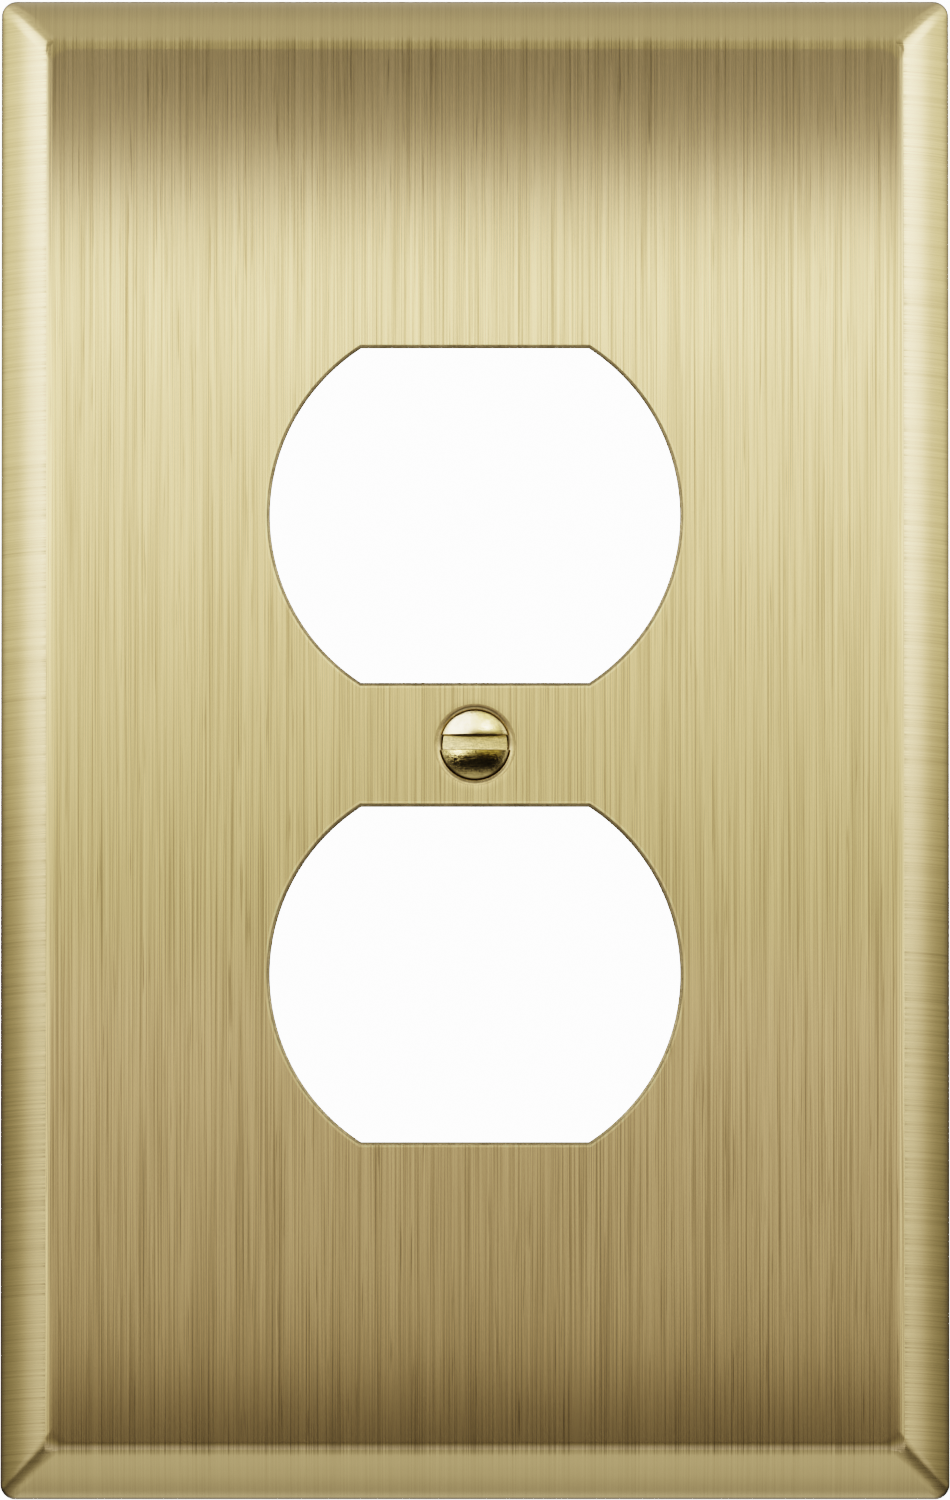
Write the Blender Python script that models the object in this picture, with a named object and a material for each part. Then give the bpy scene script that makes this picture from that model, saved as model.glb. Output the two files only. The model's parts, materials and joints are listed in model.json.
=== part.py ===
"""Duplex receptacle wall plate: a stamped brass cover, its screw and the washer that keeps the screw.

Metres, +Z up. The origin is on the wall plane, on the screw's axis; the front faces -Y and +X is its
right-hand side. All pieces hang from the empty "wall_plane", whose own +Z points out of the wall, so
a height in this file is a distance in front of the wall.
"""

from math import asin, cos, pi, radians, sin, sqrt, tan

import bmesh
import bpy
from mathutils import Vector

MM = 0.001
INCH = 25.4 * MM

# Cover: sheet of even thickness, drawn into a shallow tray
PLATE_WIDTH = 80.3 * MM
PLATE_HEIGHT = 127.2 * MM
PLATE_DEPTH = 5.6 * MM
SHEET = 0.8 * MM
RIM_CORNER_RADIUS = 1.3 * MM
FACE_CORNER_RADIUS = 0.95 * MM
SMALLEST_INNER_RADIUS = 0.25 * MM
CORNER_STEPS = 5

# Sloping side as three arcs, from the upright rim to the flat face: radius, slope at each end, steps
SIDE_ARCS = (
    (1.5 * MM, radians(90), radians(66), 3),
    (11.3 * MM, radians(66), radians(38), 6),
    (1.8 * MM, radians(38), radians(0), 4),
)

# Openings for the two halves of a duplex receptacle: round sides with a flat top and a flat bottom
OPENING_SPACING = 38.9 * MM
OPENING_HALF_WIDTH = 17.32 * MM
OPENING_HALF_HEIGHT = 14.18 * MM
OPENING_ARC_RADIUS = 16.9 * MM
OPENING_ROLLOVER = 0.15 * MM
OPENING_ARC_STEPS = 28

# Dimple that seats the screw's head
COUNTERSINK = radians(41)
DIMPLE_RADIUS = 3.52 * MM
DIMPLE_LIP_RADIUS = 0.32 * MM
DIMPLE_LIP_STEPS = 4
DIMPLE_DEPTH = 2.1 * MM
DIMPLE_SHEET = 0.75 * MM
SCREW_HOLE_RADIUS = 2.05 * MM

# Slotted oval-head machine screw, 6-32 x 1/2 in
HEAD_RADIUS = 2.93 * MM
HEAD_SINK = 0.15 * MM
HEAD_EDGE = 0.12 * MM
DOME_HEIGHT = 0.85 * MM
DOME_STEPS = 7
SLOT_WIDTH = 1.25 * MM
SLOT_DEPTH = 1.15 * MM
SLOT_OFFSET = 0.2 * MM
SCREW_LENGTH = INCH / 2
THREAD_PITCH = INCH / 32
THREAD_MAJOR_RADIUS = 1.7525 * MM
THREAD_ROOT_RADIUS = 1.3 * MM
THREAD_CREST = 0.2
THREAD_ROOT = 0.3
THREAD_FADE_TURNS = 0.75
TIP_CHAMFER = 0.35 * MM

# Fibre washer, loose on the screw's plain neck; the thread behind it is wider than its hole
WASHER_OUTER_RADIUS = 4.75 * MM
WASHER_INNER_RADIUS = 1.6 * MM
WASHER_THICKNESS = 0.8 * MM
WASHER_EDGE = 0.08 * MM
WASHER_HEIGHT = 0.9 * MM
GAP = 0.3 * MM

TURNED_STEPS = 48
THREAD_STEPS = 32
CUTTER_MARGIN = 2.0 * MM
SHARP_ANGLE = radians(30)

BRUSHED_BRASS = (0.56, 0.44, 0.21, 1.0)
POLISHED_BRASS = (0.78, 0.60, 0.25, 1.0)
RED_FIBRE = (0.30, 0.07, 0.045, 1.0)


def clear_scene():
    for item in list(bpy.data.objects):
        bpy.data.objects.remove(item, do_unlink=True)


def make_material(name, colour, roughness, metallic):
    material = bpy.data.materials.new(name)
    material.use_nodes = True
    shader = material.node_tree.nodes["Principled BSDF"]
    shader.inputs["Base Color"].default_value = colour
    shader.inputs["Roughness"].default_value = roughness
    shader.inputs["Metallic"].default_value = metallic
    return material


def make_object(name, shape, parent, height=0.0):
    """Turn the bmesh "shape" into an object on the screw's axis, "height" in front of the wall."""
    bmesh.ops.recalc_face_normals(shape, faces=shape.faces)
    mesh = bpy.data.meshes.new(name)
    shape.to_mesh(mesh)
    shape.free()
    item = bpy.data.objects.new(name, mesh)
    item.parent = parent
    item.location = (0, 0, height)
    bpy.context.scene.collection.objects.link(item)
    return item


def finish_piece(item, material):
    item.data.materials.append(material)
    item.data.shade_smooth()
    item.data.set_sharp_from_angle(angle=SHARP_ANGLE)


def make_tool(name, shape, parent, height=0.0):
    """A shape that only cuts or adds to a piece."""
    tool = make_object(name, shape, parent, height)
    tool.hide_render = True
    tool.display_type = "WIRE"
    return tool


def apply_tool(item, tool, operation):
    boolean = item.modifiers.new(f"{operation.lower()} {tool.name}", "BOOLEAN")
    boolean.object = tool
    boolean.operation = operation
    boolean.solver = "EXACT"


def bridge(shape, ring, next_ring):
    """Quads between two rings of equally many vertices."""
    count = len(ring)
    for i in range(count):
        j = (i + 1) % count
        shape.faces.new((ring[i], ring[j], next_ring[j], next_ring[i]))


def loft(outlines):
    """A closed bmesh through a list of equally long outlines, with flat ends."""
    shape = bmesh.new()
    rings = [[shape.verts.new(point) for point in outline] for outline in outlines]
    for ring, next_ring in zip(rings, rings[1:]):
        bridge(shape, ring, next_ring)
    shape.faces.new(rings[0])
    shape.faces.new(rings[-1])
    return shape


def circle(radius, height, steps=TURNED_STEPS):
    angles = [2 * pi * i / steps for i in range(steps)]
    return [Vector((radius * cos(a), radius * sin(a), height)) for a in angles]


# Cover plate


def side_profile():
    """Points (inset, height, slope) of the front surface, from the wall up to the flat face."""
    rise = sum(r * (cos(end) - cos(start)) for r, start, end, _ in SIDE_ARCS)
    inset = 0.0
    height = PLATE_DEPTH - rise
    points = [(inset, 0.0, radians(90)), (inset, height, radians(90))]
    for radius, start, end, steps in SIDE_ARCS:
        for i in range(1, steps + 1):
            slope = start + (end - start) * i / steps
            run = radius * (sin(start) - sin(slope))
            climb = radius * (cos(slope) - cos(start))
            points.append((inset + run, height + climb, slope))
        inset += radius * (sin(start) - sin(end))
        height += radius * (cos(end) - cos(start))
    return points


def rounded_rectangle(inset, corner_radius, height):
    half_width = PLATE_WIDTH / 2 - inset - corner_radius
    half_height = PLATE_HEIGHT / 2 - inset - corner_radius
    corners = ((1, 1, 0.0), (-1, 1, pi / 2), (-1, -1, pi), (1, -1, 3 * pi / 2))
    outline = []
    for side_x, side_y, first_angle in corners:
        for i in range(CORNER_STEPS + 1):
            angle = first_angle + pi / 2 * i / CORNER_STEPS
            x = side_x * half_width + corner_radius * cos(angle)
            y = side_y * half_height + corner_radius * sin(angle)
            outline.append(Vector((x, y, height)))
    return outline


def plate_outline(point, total_run, depth_in_sheet):
    """The plate's outline at one profile point, "depth_in_sheet" below the front surface."""
    inset, height, slope = point
    shift = depth_in_sheet * sin(slope)
    front_radius = RIM_CORNER_RADIUS + (FACE_CORNER_RADIUS - RIM_CORNER_RADIUS) * inset / total_run
    radius = max(SMALLEST_INNER_RADIUS, front_radius - shift)
    return rounded_rectangle(inset + shift, radius, height - depth_in_sheet * cos(slope))


def tray_shape():
    profile = side_profile()
    total_run = profile[-1][0]
    front = [plate_outline(point, total_run, 0.0) for point in profile]
    back = [plate_outline(point, total_run, SHEET) for point in profile]
    return loft(front[::-1] + back)


def countersink_radius(height):
    """Radius of the dimple's front cone at a height, below its rounded lip."""
    lip_run = DIMPLE_LIP_RADIUS * cos(COUNTERSINK)
    lip_drop = DIMPLE_LIP_RADIUS * (1 - sin(COUNTERSINK))
    return DIMPLE_RADIUS - lip_run - (PLATE_DEPTH - lip_drop - height) * tan(COUNTERSINK)


def dimple_cut_shape():
    """What the punch pushes away: rounded lip, cone and clearance hole."""
    outlines = [circle(DIMPLE_RADIUS, PLATE_DEPTH + CUTTER_MARGIN)]
    full_turn = pi / 2 - COUNTERSINK
    for i in range(DIMPLE_LIP_STEPS + 1):
        slope = full_turn * i / DIMPLE_LIP_STEPS
        radius = DIMPLE_RADIUS - DIMPLE_LIP_RADIUS * sin(slope)
        outlines.append(circle(radius, PLATE_DEPTH - DIMPLE_LIP_RADIUS * (1 - cos(slope))))
    cone_depth = (countersink_radius(PLATE_DEPTH) - SCREW_HOLE_RADIUS) / tan(COUNTERSINK)
    outlines.append(circle(SCREW_HOLE_RADIUS, PLATE_DEPTH - cone_depth))
    outlines.append(circle(SCREW_HOLE_RADIUS, PLATE_DEPTH - DIMPLE_DEPTH - CUTTER_MARGIN))
    return loft(outlines)


def dimple_back_shape():
    """The same dimple seen from behind: a cone that ends in a flat ring round the hole."""
    offset = DIMPLE_SHEET / cos(COUNTERSINK)
    buried_height = PLATE_DEPTH - SHEET / 2
    back_height = PLATE_DEPTH - DIMPLE_DEPTH
    buried = circle(countersink_radius(buried_height) + offset, buried_height)
    back = circle(countersink_radius(back_height) + offset, back_height)
    return loft([buried, back])


def opening_outline(centre, height, grow=0.0):
    radius = OPENING_ARC_RADIUS + grow
    offset = OPENING_HALF_WIDTH - OPENING_ARC_RADIUS
    flat_angle = asin((OPENING_HALF_HEIGHT + grow) / radius)
    outline = []
    for side, middle in ((1, 0.0), (-1, pi)):
        for i in range(OPENING_ARC_STEPS + 1):
            angle = middle - flat_angle + 2 * flat_angle * i / OPENING_ARC_STEPS
            x = side * offset + radius * cos(angle)
            outline.append(Vector((x, centre + radius * sin(angle), height)))
    return outline


def opening_cut_shape(centre):
    """A punch with the small rollover that it leaves round the front edge."""
    return loft(
        [
            opening_outline(centre, PLATE_DEPTH + CUTTER_MARGIN, OPENING_ROLLOVER),
            opening_outline(centre, PLATE_DEPTH, OPENING_ROLLOVER),
            opening_outline(centre, PLATE_DEPTH - OPENING_ROLLOVER),
            opening_outline(centre, PLATE_DEPTH - SHEET - CUTTER_MARGIN),
        ]
    )


def build_cover_plate(wall_plane):
    plate = make_object("cover_plate", tray_shape(), wall_plane)
    apply_tool(plate, make_tool("dimple back", dimple_back_shape(), wall_plane), "UNION")
    apply_tool(plate, make_tool("dimple", dimple_cut_shape(), wall_plane), "DIFFERENCE")
    for name, side in (("upper opening", 1), ("lower opening", -1)):
        punch = make_tool(name, opening_cut_shape(side * OPENING_SPACING / 2), wall_plane)
        apply_tool(plate, punch, "DIFFERENCE")
    finish_piece(plate, make_material("brushed brass", BRUSHED_BRASS, 0.34, 1.0))


# Mounting screw, modelled with its head's rim at height 0 and its shank down -Z


def thread_radius(turns, total_turns):
    """Crest radius after some turns: the thread grows out of the root and fades back into it."""
    fade = min(1.0, turns / THREAD_FADE_TURNS, (total_turns - turns) / THREAD_FADE_TURNS)
    return THREAD_ROOT_RADIUS + (THREAD_MAJOR_RADIUS - THREAD_ROOT_RADIUS) * max(0.0, fade)


def add_thread(shape, bottom, top, bottom_ring, top_ring):
    """One right-handed helical ridge between two rings of the root cylinder, joined to both."""
    total_turns = int((top - bottom) / THREAD_PITCH) - 1
    lead = (top - bottom - (total_turns + 1) * THREAD_PITCH) / 2
    flank = (1 - THREAD_CREST - THREAD_ROOT) / 2
    crest_start = THREAD_ROOT + flank
    crest_end = crest_start + THREAD_CREST
    last = total_turns * THREAD_STEPS

    def on_helix(turns, along, radius):
        angle = 2 * pi * turns
        height = bottom + lead + (turns + along) * THREAD_PITCH
        return shape.verts.new((radius * cos(angle), radius * sin(angle), height))

    ribs = []
    for i in range(last + THREAD_STEPS + 1):
        turns = i / THREAD_STEPS
        rib = [on_helix(turns, 0.0, THREAD_ROOT_RADIUS)]
        if i <= last:
            crest = thread_radius(turns, total_turns)
            rib.append(on_helix(turns, THREAD_ROOT, THREAD_ROOT_RADIUS))
            rib.append(on_helix(turns, crest_start, crest))
            rib.append(on_helix(turns, crest_end, crest))
        ribs.append(rib)

    def seam(i):
        """A rib and the point where the next turn starts."""
        return ribs[i] + ribs[i + THREAD_STEPS][:1]

    for i in range(last):
        rib = seam(i)
        next_rib = seam(i + 1)
        for k in range(len(rib) - 1):
            shape.faces.new((rib[k], next_rib[k], next_rib[k + 1], rib[k + 1]))
    for i in range(THREAD_STEPS - 1):
        shape.faces.new((bottom_ring[i], bottom_ring[i + 1], ribs[i + 1][0], ribs[i][0]))
    shape.faces.new([bottom_ring[-1], bottom_ring[0], *seam(0), ribs[THREAD_STEPS - 1][0]])
    shape.faces.new([ribs[last + 1][0], top_ring[1], top_ring[0], *reversed(seam(last))])
    for i in range(1, THREAD_STEPS):
        j = (i + 1) % THREAD_STEPS
        shape.faces.new((ribs[last + i][0], ribs[last + i + 1][0], top_ring[j], top_ring[i]))


def screw_shape():
    head_height = PLATE_DEPTH - HEAD_SINK
    tip = -SCREW_LENGTH
    thread_top = WASHER_HEIGHT - GAP - head_height
    neck_top = -(HEAD_RADIUS - THREAD_ROOT_RADIUS) / tan(COUNTERSINK)
    shape = bmesh.new()

    def ring(radius, height):
        return [shape.verts.new(point) for point in circle(radius, height, THREAD_STEPS)]

    tip_ring = ring(THREAD_ROOT_RADIUS - TIP_CHAMFER, tip)
    chamfer_ring = ring(THREAD_ROOT_RADIUS, tip + TIP_CHAMFER)
    thread_ring = ring(THREAD_ROOT_RADIUS, thread_top)
    shape.faces.new(tip_ring)
    bridge(shape, tip_ring, chamfer_ring)
    add_thread(shape, tip + TIP_CHAMFER, thread_top, chamfer_ring, thread_ring)

    above = [(THREAD_ROOT_RADIUS, neck_top), (HEAD_RADIUS, 0.0), (HEAD_RADIUS, HEAD_EDGE)]
    dome_rise = DOME_HEIGHT - HEAD_EDGE
    dome_radius = (HEAD_RADIUS**2 + dome_rise**2) / (2 * dome_rise)
    for i in range(1, DOME_STEPS):
        radius = HEAD_RADIUS * (1 - i / DOME_STEPS)
        height = DOME_HEIGHT - dome_radius + sqrt(dome_radius**2 - radius**2)
        above.append((radius, height))
    below = thread_ring
    for radius, height in above:
        next_ring = ring(radius, height)
        bridge(shape, below, next_ring)
        below = next_ring
    apex = shape.verts.new((0, 0, DOME_HEIGHT))
    for i in range(THREAD_STEPS):
        shape.faces.new((below[i - 1], below[i], apex))
    return shape


def slot_shape():
    """A milled slot, straight across the head and a little above its middle."""
    half_length = HEAD_RADIUS + CUTTER_MARGIN
    half_width = SLOT_WIDTH / 2
    corners = ((-1, -1), (1, -1), (1, 1), (-1, 1))
    floor = DOME_HEIGHT - SLOT_DEPTH
    top = DOME_HEIGHT + CUTTER_MARGIN
    outlines = []
    for height in (floor, top):
        outlines.append([Vector((half_length * x, SLOT_OFFSET + half_width * y, height)) for x, y in corners])
    return loft(outlines)


def build_mounting_screw(wall_plane):
    seat = PLATE_DEPTH - HEAD_SINK
    screw = make_object("mounting_screw", screw_shape(), wall_plane, seat)
    apply_tool(screw, make_tool("slot", slot_shape(), wall_plane, seat), "DIFFERENCE")
    finish_piece(screw, make_material("polished brass", POLISHED_BRASS, 0.16, 1.0))


# Retaining washer


def washer_shape():
    outside = WASHER_OUTER_RADIUS
    inside = WASHER_INNER_RADIUS
    section = (
        (inside, 0.0),
        (outside - WASHER_EDGE, 0.0),
        (outside, WASHER_EDGE),
        (outside, WASHER_THICKNESS - WASHER_EDGE),
        (outside - WASHER_EDGE, WASHER_THICKNESS),
        (inside, WASHER_THICKNESS),
    )
    shape = bmesh.new()
    rings = [[shape.verts.new(p) for p in circle(radius, height)] for radius, height in section]
    for ring, next_ring in zip(rings, rings[1:] + rings[:1]):
        bridge(shape, ring, next_ring)
    return shape


def build_retaining_washer(wall_plane):
    washer = make_object("screw_retaining_washer", washer_shape(), wall_plane, WASHER_HEIGHT)
    finish_piece(washer, make_material("red fibre", RED_FIBRE, 0.75, 0.0))


def build():
    clear_scene()
    wall_plane = bpy.data.objects.new("wall_plane", None)
    wall_plane.rotation_euler = (radians(90), 0, 0)
    bpy.context.scene.collection.objects.link(wall_plane)
    build_cover_plate(wall_plane)
    build_mounting_screw(wall_plane)
    build_retaining_washer(wall_plane)


build()
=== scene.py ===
# Looks of a duplex receptacle wall plate: the brushed brass cover, its screw and the screw's washer.
# Metres, +Z up. The wall is the plane y = 0 and the front faces -Y, so a point on the plate is given
# by its place across (X), its place up (Z) and its distance forward of the wall (-Y).
import json
from math import asin, cos, pi, radians, sin, sqrt, tan

import bmesh
import bpy
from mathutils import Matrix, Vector, noise


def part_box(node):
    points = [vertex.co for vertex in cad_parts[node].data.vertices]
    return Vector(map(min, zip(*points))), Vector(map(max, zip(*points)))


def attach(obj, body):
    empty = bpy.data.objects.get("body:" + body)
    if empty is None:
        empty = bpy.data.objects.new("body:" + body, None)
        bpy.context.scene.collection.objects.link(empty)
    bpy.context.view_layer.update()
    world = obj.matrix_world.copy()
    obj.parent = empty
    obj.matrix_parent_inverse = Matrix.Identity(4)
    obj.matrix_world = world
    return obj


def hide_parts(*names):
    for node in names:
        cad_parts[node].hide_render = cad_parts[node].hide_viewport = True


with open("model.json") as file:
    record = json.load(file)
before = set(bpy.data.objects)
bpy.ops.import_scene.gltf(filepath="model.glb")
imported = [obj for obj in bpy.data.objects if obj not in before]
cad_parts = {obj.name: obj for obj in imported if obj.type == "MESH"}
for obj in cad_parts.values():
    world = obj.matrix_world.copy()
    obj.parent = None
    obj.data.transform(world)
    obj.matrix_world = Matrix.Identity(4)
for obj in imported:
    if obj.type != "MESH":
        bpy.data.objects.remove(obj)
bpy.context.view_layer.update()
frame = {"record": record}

MM = 0.001

# Cover plate: outside sizes from the frame
plate_low, plate_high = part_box("cover_plate")
PLATE_HALF_WIDTH = plate_high.x
PLATE_HALF_HEIGHT = plate_high.z
PLATE_DEPTH = -plate_low.y
SHEET = 0.8 * MM
PLATE_BACK = PLATE_DEPTH - SHEET
RIM_CORNER_RADIUS = 1.3 * MM
FACE_CORNER_RADIUS = 1.25 * MM
SMALLEST_INNER_RADIUS = 0.25 * MM
RIM_ROUND = 0.07 * MM
CORNER_STEPS = 14

# Sloping side as three arcs, from the upright rim to the flat face: radius, slope at each end, steps
SIDE_ARCS = (
    (1.5 * MM, radians(90), radians(66), 8),
    (11.3 * MM, radians(66), radians(38), 18),
    (1.8 * MM, radians(38), radians(0), 16),
)

# Openings for the receptacle's two halves, punched from the front
OPENING_HALF_WIDTH = 17.32 * MM
OPENING_HALF_HEIGHT = 14.18 * MM
OPENING_ARC_RADIUS = 16.9 * MM
OPENING_ROLLOVER = 0.3 * MM
# Width of the lighter band just outside the rolled edge, a painted highlight
HIGHLIGHT_BAND = 0.17 * MM
OPENING_LAND = 0.6 * MM
SHEARED_BAND = 0.2 * MM
TORN_SLOPE = 0.05 * MM
TORN_ROUGHNESS = 0.02 * MM
TORN_LENGTH = 0.25 * MM
TORN_BAND = 0.12 * MM
BURR = 0.05 * MM
OPENING_ARC_STEPS = 80

# Dimple for the screw's head
COUNTERSINK = radians(41)
DIMPLE_RADIUS = 3.47 * MM
DIMPLE_LIP_RADIUS = 0.8 * MM
DIMPLE_DEPTH = 2.0 * MM
DIMPLE_SHEET = 0.75 * MM
DIMPLE_LAND = 0.5 * MM
DIMPLE_ROOT_RADIUS = 0.4 * MM
DIMPLE_EDGE = 0.12 * MM
DIMPLE_BORE_EDGE = 0.06 * MM
SCREW_HOLE_RADIUS = 2.05 * MM

# Slotted oval-head machine screw, 6-32 x 1/2 in; heights are from its head's rim
screw_low, screw_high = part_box("mounting_screw")
HEAD_RADIUS = screw_high.x
HEAD_SEAT = PLATE_DEPTH - 0.15 * MM
SCREW_TIP = -screw_high.y - HEAD_SEAT
HEAD_EDGE = 0.12 * MM
DOME_HEIGHT = 0.85 * MM
DOME_STEPS = 26
DOME_START = 0.93 * HEAD_RADIUS
HEAD_EDGE_ROUND = 0.05 * MM
HEAD_UNDER_EDGE_ROUND = 0.04 * MM
NECK_FILLET = 0.3 * MM
SLOT_WIDTH = 1.25 * MM
SLOT_DEPTH = 0.85 * MM
SLOT_OFFSET = 0.2 * MM
SLOT_CHAMFER = 0.07 * MM
SLOT_FLOOR_RADIUS = 0.1 * MM
SLOT_CROWN_RADIUS = 21 * MM
SLOT_SECTIONS = 30
SLOT_OVERRUN = 0.5 * MM
SLOT_LIP_UP = SLOT_OFFSET + SLOT_WIDTH / 2
THREAD_PITCH = 25.4 / 32 * MM
THREAD_MAJOR_RADIUS = 1.7525 * MM
THREAD_ROOT_RADIUS = 1.3 * MM
THREAD_FADE_TURNS = 0.75
THREAD_STEPS = 64
TIP_CHAMFER = 0.35 * MM
THREAD_BELOW_WASHER = 0.3 * MM

# One turn of the thread's section: share of the pitch, share of the depth
THREAD_SECTION = (
    (0.0, 0.0),
    (0.22, 0.0),
    (0.28, 0.12),
    (0.49, 0.9),
    (0.54, 1.0),
    (0.66, 1.0),
    (0.71, 0.9),
    (0.93, 0.12),
)

# Retaining washer
washer_low, washer_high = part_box("screw_retaining_washer")
WASHER_RADIUS = washer_high.x
WASHER_BACK = -washer_high.y
WASHER_FRONT = -washer_low.y
WASHER_HOLE_RADIUS = 1.6 * MM
WASHER_EDGE = 0.09 * MM
WASHER_RAGGEDNESS = 0.012 * MM
WASHER_RAG_LENGTH = 0.4 * MM
WASHER_STEPS = 128

TURNED_STEPS = 128
SHARP_ANGLE = radians(32)

# The upright brushing of the face runs over the fold, out to this slope of the side
BRUSHED_OVER_SLOPE = radians(24)

# Material slots of the cover's mesh
FACE, SIDE, EDGE, BACK, LIP, PRESSED = range(6)

# Colours of clean brass and of the fibre
BRASS = (0.80, 0.614, 0.276)
SCREW_BRASS = (0.88, 0.68, 0.27)
# The dark brass below is the sheared edges' own colour and also the tint of painted shade on the
# plate's rim, in the dimple, round the screw's head and in its slot.
SHEARED_BRASS_AND_SHADE = (0.32, 0.255, 0.13)
MILL_BRASS = (0.74, 0.56, 0.26)
FIBRE = (0.31, 0.062, 0.038)
SCUFFED_FIBRE = (0.42, 0.13, 0.085)

# Brightness of the studio, as the plate reflects it, and of the backdrop, as the camera sees it
STUDIO_STRENGTH = 3.0
BACKDROP_STRENGTH = 7.0


# Mesh helpers


def at(x, up, forward):
    """Point from its place on the plate and its distance forward of the wall."""
    return Vector((x, -forward, up))


def rounded(corners, turn=radians(9)):
    """Corners (u, v, radius) as a line of (u, v) points with each corner rounded in steps of "turn"."""
    points = []
    for i, (u, v, radius) in enumerate(corners):
        corner = Vector((u, v))
        if radius == 0:
            points.append((u, v))
            continue
        back = (Vector(corners[i - 1][:2]) - corner).normalized()
        onward = (Vector(corners[i + 1][:2]) - corner).normalized()
        opening = back.angle(onward)
        bend = pi - opening
        centre = corner + (back + onward).normalized() * radius / sin(opening / 2)
        start = corner + back * radius / tan(opening / 2) - centre
        end = corner + onward * radius / tan(opening / 2) - centre
        steps = max(2, round(bend / turn))
        for k in range(steps + 1):
            part = k / steps
            spoke = start * sin(bend * (1 - part)) + end * sin(bend * part)
            points.append(tuple(centre + spoke / sin(bend)))
    return points


def circle(radius, forward, steps=TURNED_STEPS):
    angles = [2 * pi * i / steps for i in range(steps)]
    return [at(radius * cos(a), radius * sin(a), forward) for a in angles]


def add_ring(shape, points):
    return [shape.verts.new(point) for point in points]


def bridge(shape, ring, next_ring, slots=None):
    """Quads between two rings; "slots" gives each quad's material slot, or one slot for all."""
    count = len(ring)
    for i in range(count):
        j = (i + 1) % count
        face = shape.faces.new((ring[i], ring[j], next_ring[j], next_ring[i]))
        face.material_index = slots[i] if isinstance(slots, list) else slots or 0


def bridge_all(shape, rings, slots=None):
    for ring, next_ring in zip(rings, rings[1:]):
        bridge(shape, ring, next_ring, slots)


def fill_flat(shape, loops, slot):
    """A flat face inside the first loop with the other loops as holes."""
    edges = []
    for loop in loops:
        for a, b in zip(loop, loop[1:] + loop[:1]):
            edges.append(shape.edges.get((a, b)) or shape.edges.new((a, b)))
    filled = bmesh.ops.triangle_fill(shape, use_beauty=True, use_dissolve=False, edges=edges)
    for item in filled["geom"]:
        if isinstance(item, bmesh.types.BMFace):
            item.material_index = slot


def make_object(name, shape):
    bmesh.ops.recalc_face_normals(shape, faces=shape.faces)
    mesh = bpy.data.meshes.new(name)
    shape.to_mesh(mesh)
    shape.free()
    item = bpy.data.objects.new(name, mesh)
    bpy.context.scene.collection.objects.link(item)
    return item


def finish_piece(item, materials, node_name, body):
    """Smooth shading and materials; hides the CAD node that the piece stands for and puts the piece on
    its body.
    """
    for material in materials:
        item.data.materials.append(material)
    item.data.shade_smooth()
    item.data.set_sharp_from_angle(angle=SHARP_ANGLE)
    normals = item.modifiers.new("flat faces stay flat", "WEIGHTED_NORMAL")
    normals.keep_sharp = True
    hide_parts(node_name)
    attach(item, body)


def carve(item, tool):
    """Cut the tool out of the item for good."""
    cut = item.modifiers.new("cut", "BOOLEAN")
    cut.object = tool
    cut.operation = "DIFFERENCE"
    cut.solver = "EXACT"
    depsgraph = bpy.context.evaluated_depsgraph_get()
    carved = bpy.data.meshes.new_from_object(item.evaluated_get(depsgraph))
    item.modifiers.clear()
    item.data = carved
    bpy.data.objects.remove(tool)


# Cover plate


def side_profile():
    """Points (inset, forward, slope) of the front surface, from the rim up to the flat face."""
    rise = sum(r * (cos(end) - cos(start)) for r, start, end, _ in SIDE_ARCS)
    inset = 0.0
    forward = PLATE_DEPTH - rise
    points = [(inset, forward, radians(90))]
    for radius, start, end, steps in SIDE_ARCS:
        for i in range(1, steps + 1):
            slope = start + (end - start) * i / steps
            run = radius * (sin(start) - sin(slope))
            climb = radius * (cos(slope) - cos(start))
            points.append((inset + run, forward + climb, slope))
        inset += radius * (sin(start) - sin(end))
        forward += radius * (cos(end) - cos(start))
    return points


def rounded_rectangle(inset, corner_radius, forward):
    half_width = PLATE_HALF_WIDTH - inset - corner_radius
    half_height = PLATE_HALF_HEIGHT - inset - corner_radius
    corners = ((1, 1, 0.0), (-1, 1, pi / 2), (-1, -1, pi), (1, -1, 3 * pi / 2))
    outline = []
    for side_x, side_z, first_angle in corners:
        for i in range(CORNER_STEPS + 1):
            angle = first_angle + pi / 2 * i / CORNER_STEPS
            x = side_x * half_width + corner_radius * cos(angle)
            up = side_z * half_height + corner_radius * sin(angle)
            outline.append(at(x, up, forward))
    return outline


def side_slots():
    """Material slot of each quad round the outline: the sides and most of each corner, or the rest."""
    slots = []
    for first_angle in (0.0, pi / 2, pi, 3 * pi / 2):
        for i in range(CORNER_STEPS + 1):
            angle = first_angle + pi / 2 * min(1.0, (i + 0.5) / CORNER_STEPS)
            slots.append(SIDE if abs(sin(angle)) < 0.9 else FACE)
    return slots


def plate_outlines():
    """Outlines over the sheet's section: down the front, round the rim and up the back."""
    profile = side_profile()
    total_run = profile[-1][0]

    def corner_radius(inset):
        return RIM_CORNER_RADIUS + (FACE_CORNER_RADIUS - RIM_CORNER_RADIUS) * inset / total_run

    front = [(inset, corner_radius(inset), forward) for inset, forward, _ in reversed(profile)]
    rim_top = profile[0][1]
    section = rounded([(0, rim_top, 0), (0, 0, RIM_ROUND), (SHEET, 0, RIM_ROUND), (SHEET, rim_top, 0)])
    rim = [(inset, RIM_CORNER_RADIUS - inset, forward) for inset, forward in section[1:-1]]
    back = []
    for inset, forward, slope in profile:
        shift = SHEET * sin(slope)
        radius = max(SMALLEST_INNER_RADIUS, corner_radius(inset) - shift)
        back.append((inset + shift, radius, forward - SHEET * cos(slope)))
    return [[rounded_rectangle(*outline) for outline in part] for part in (front, rim, back)]


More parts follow.
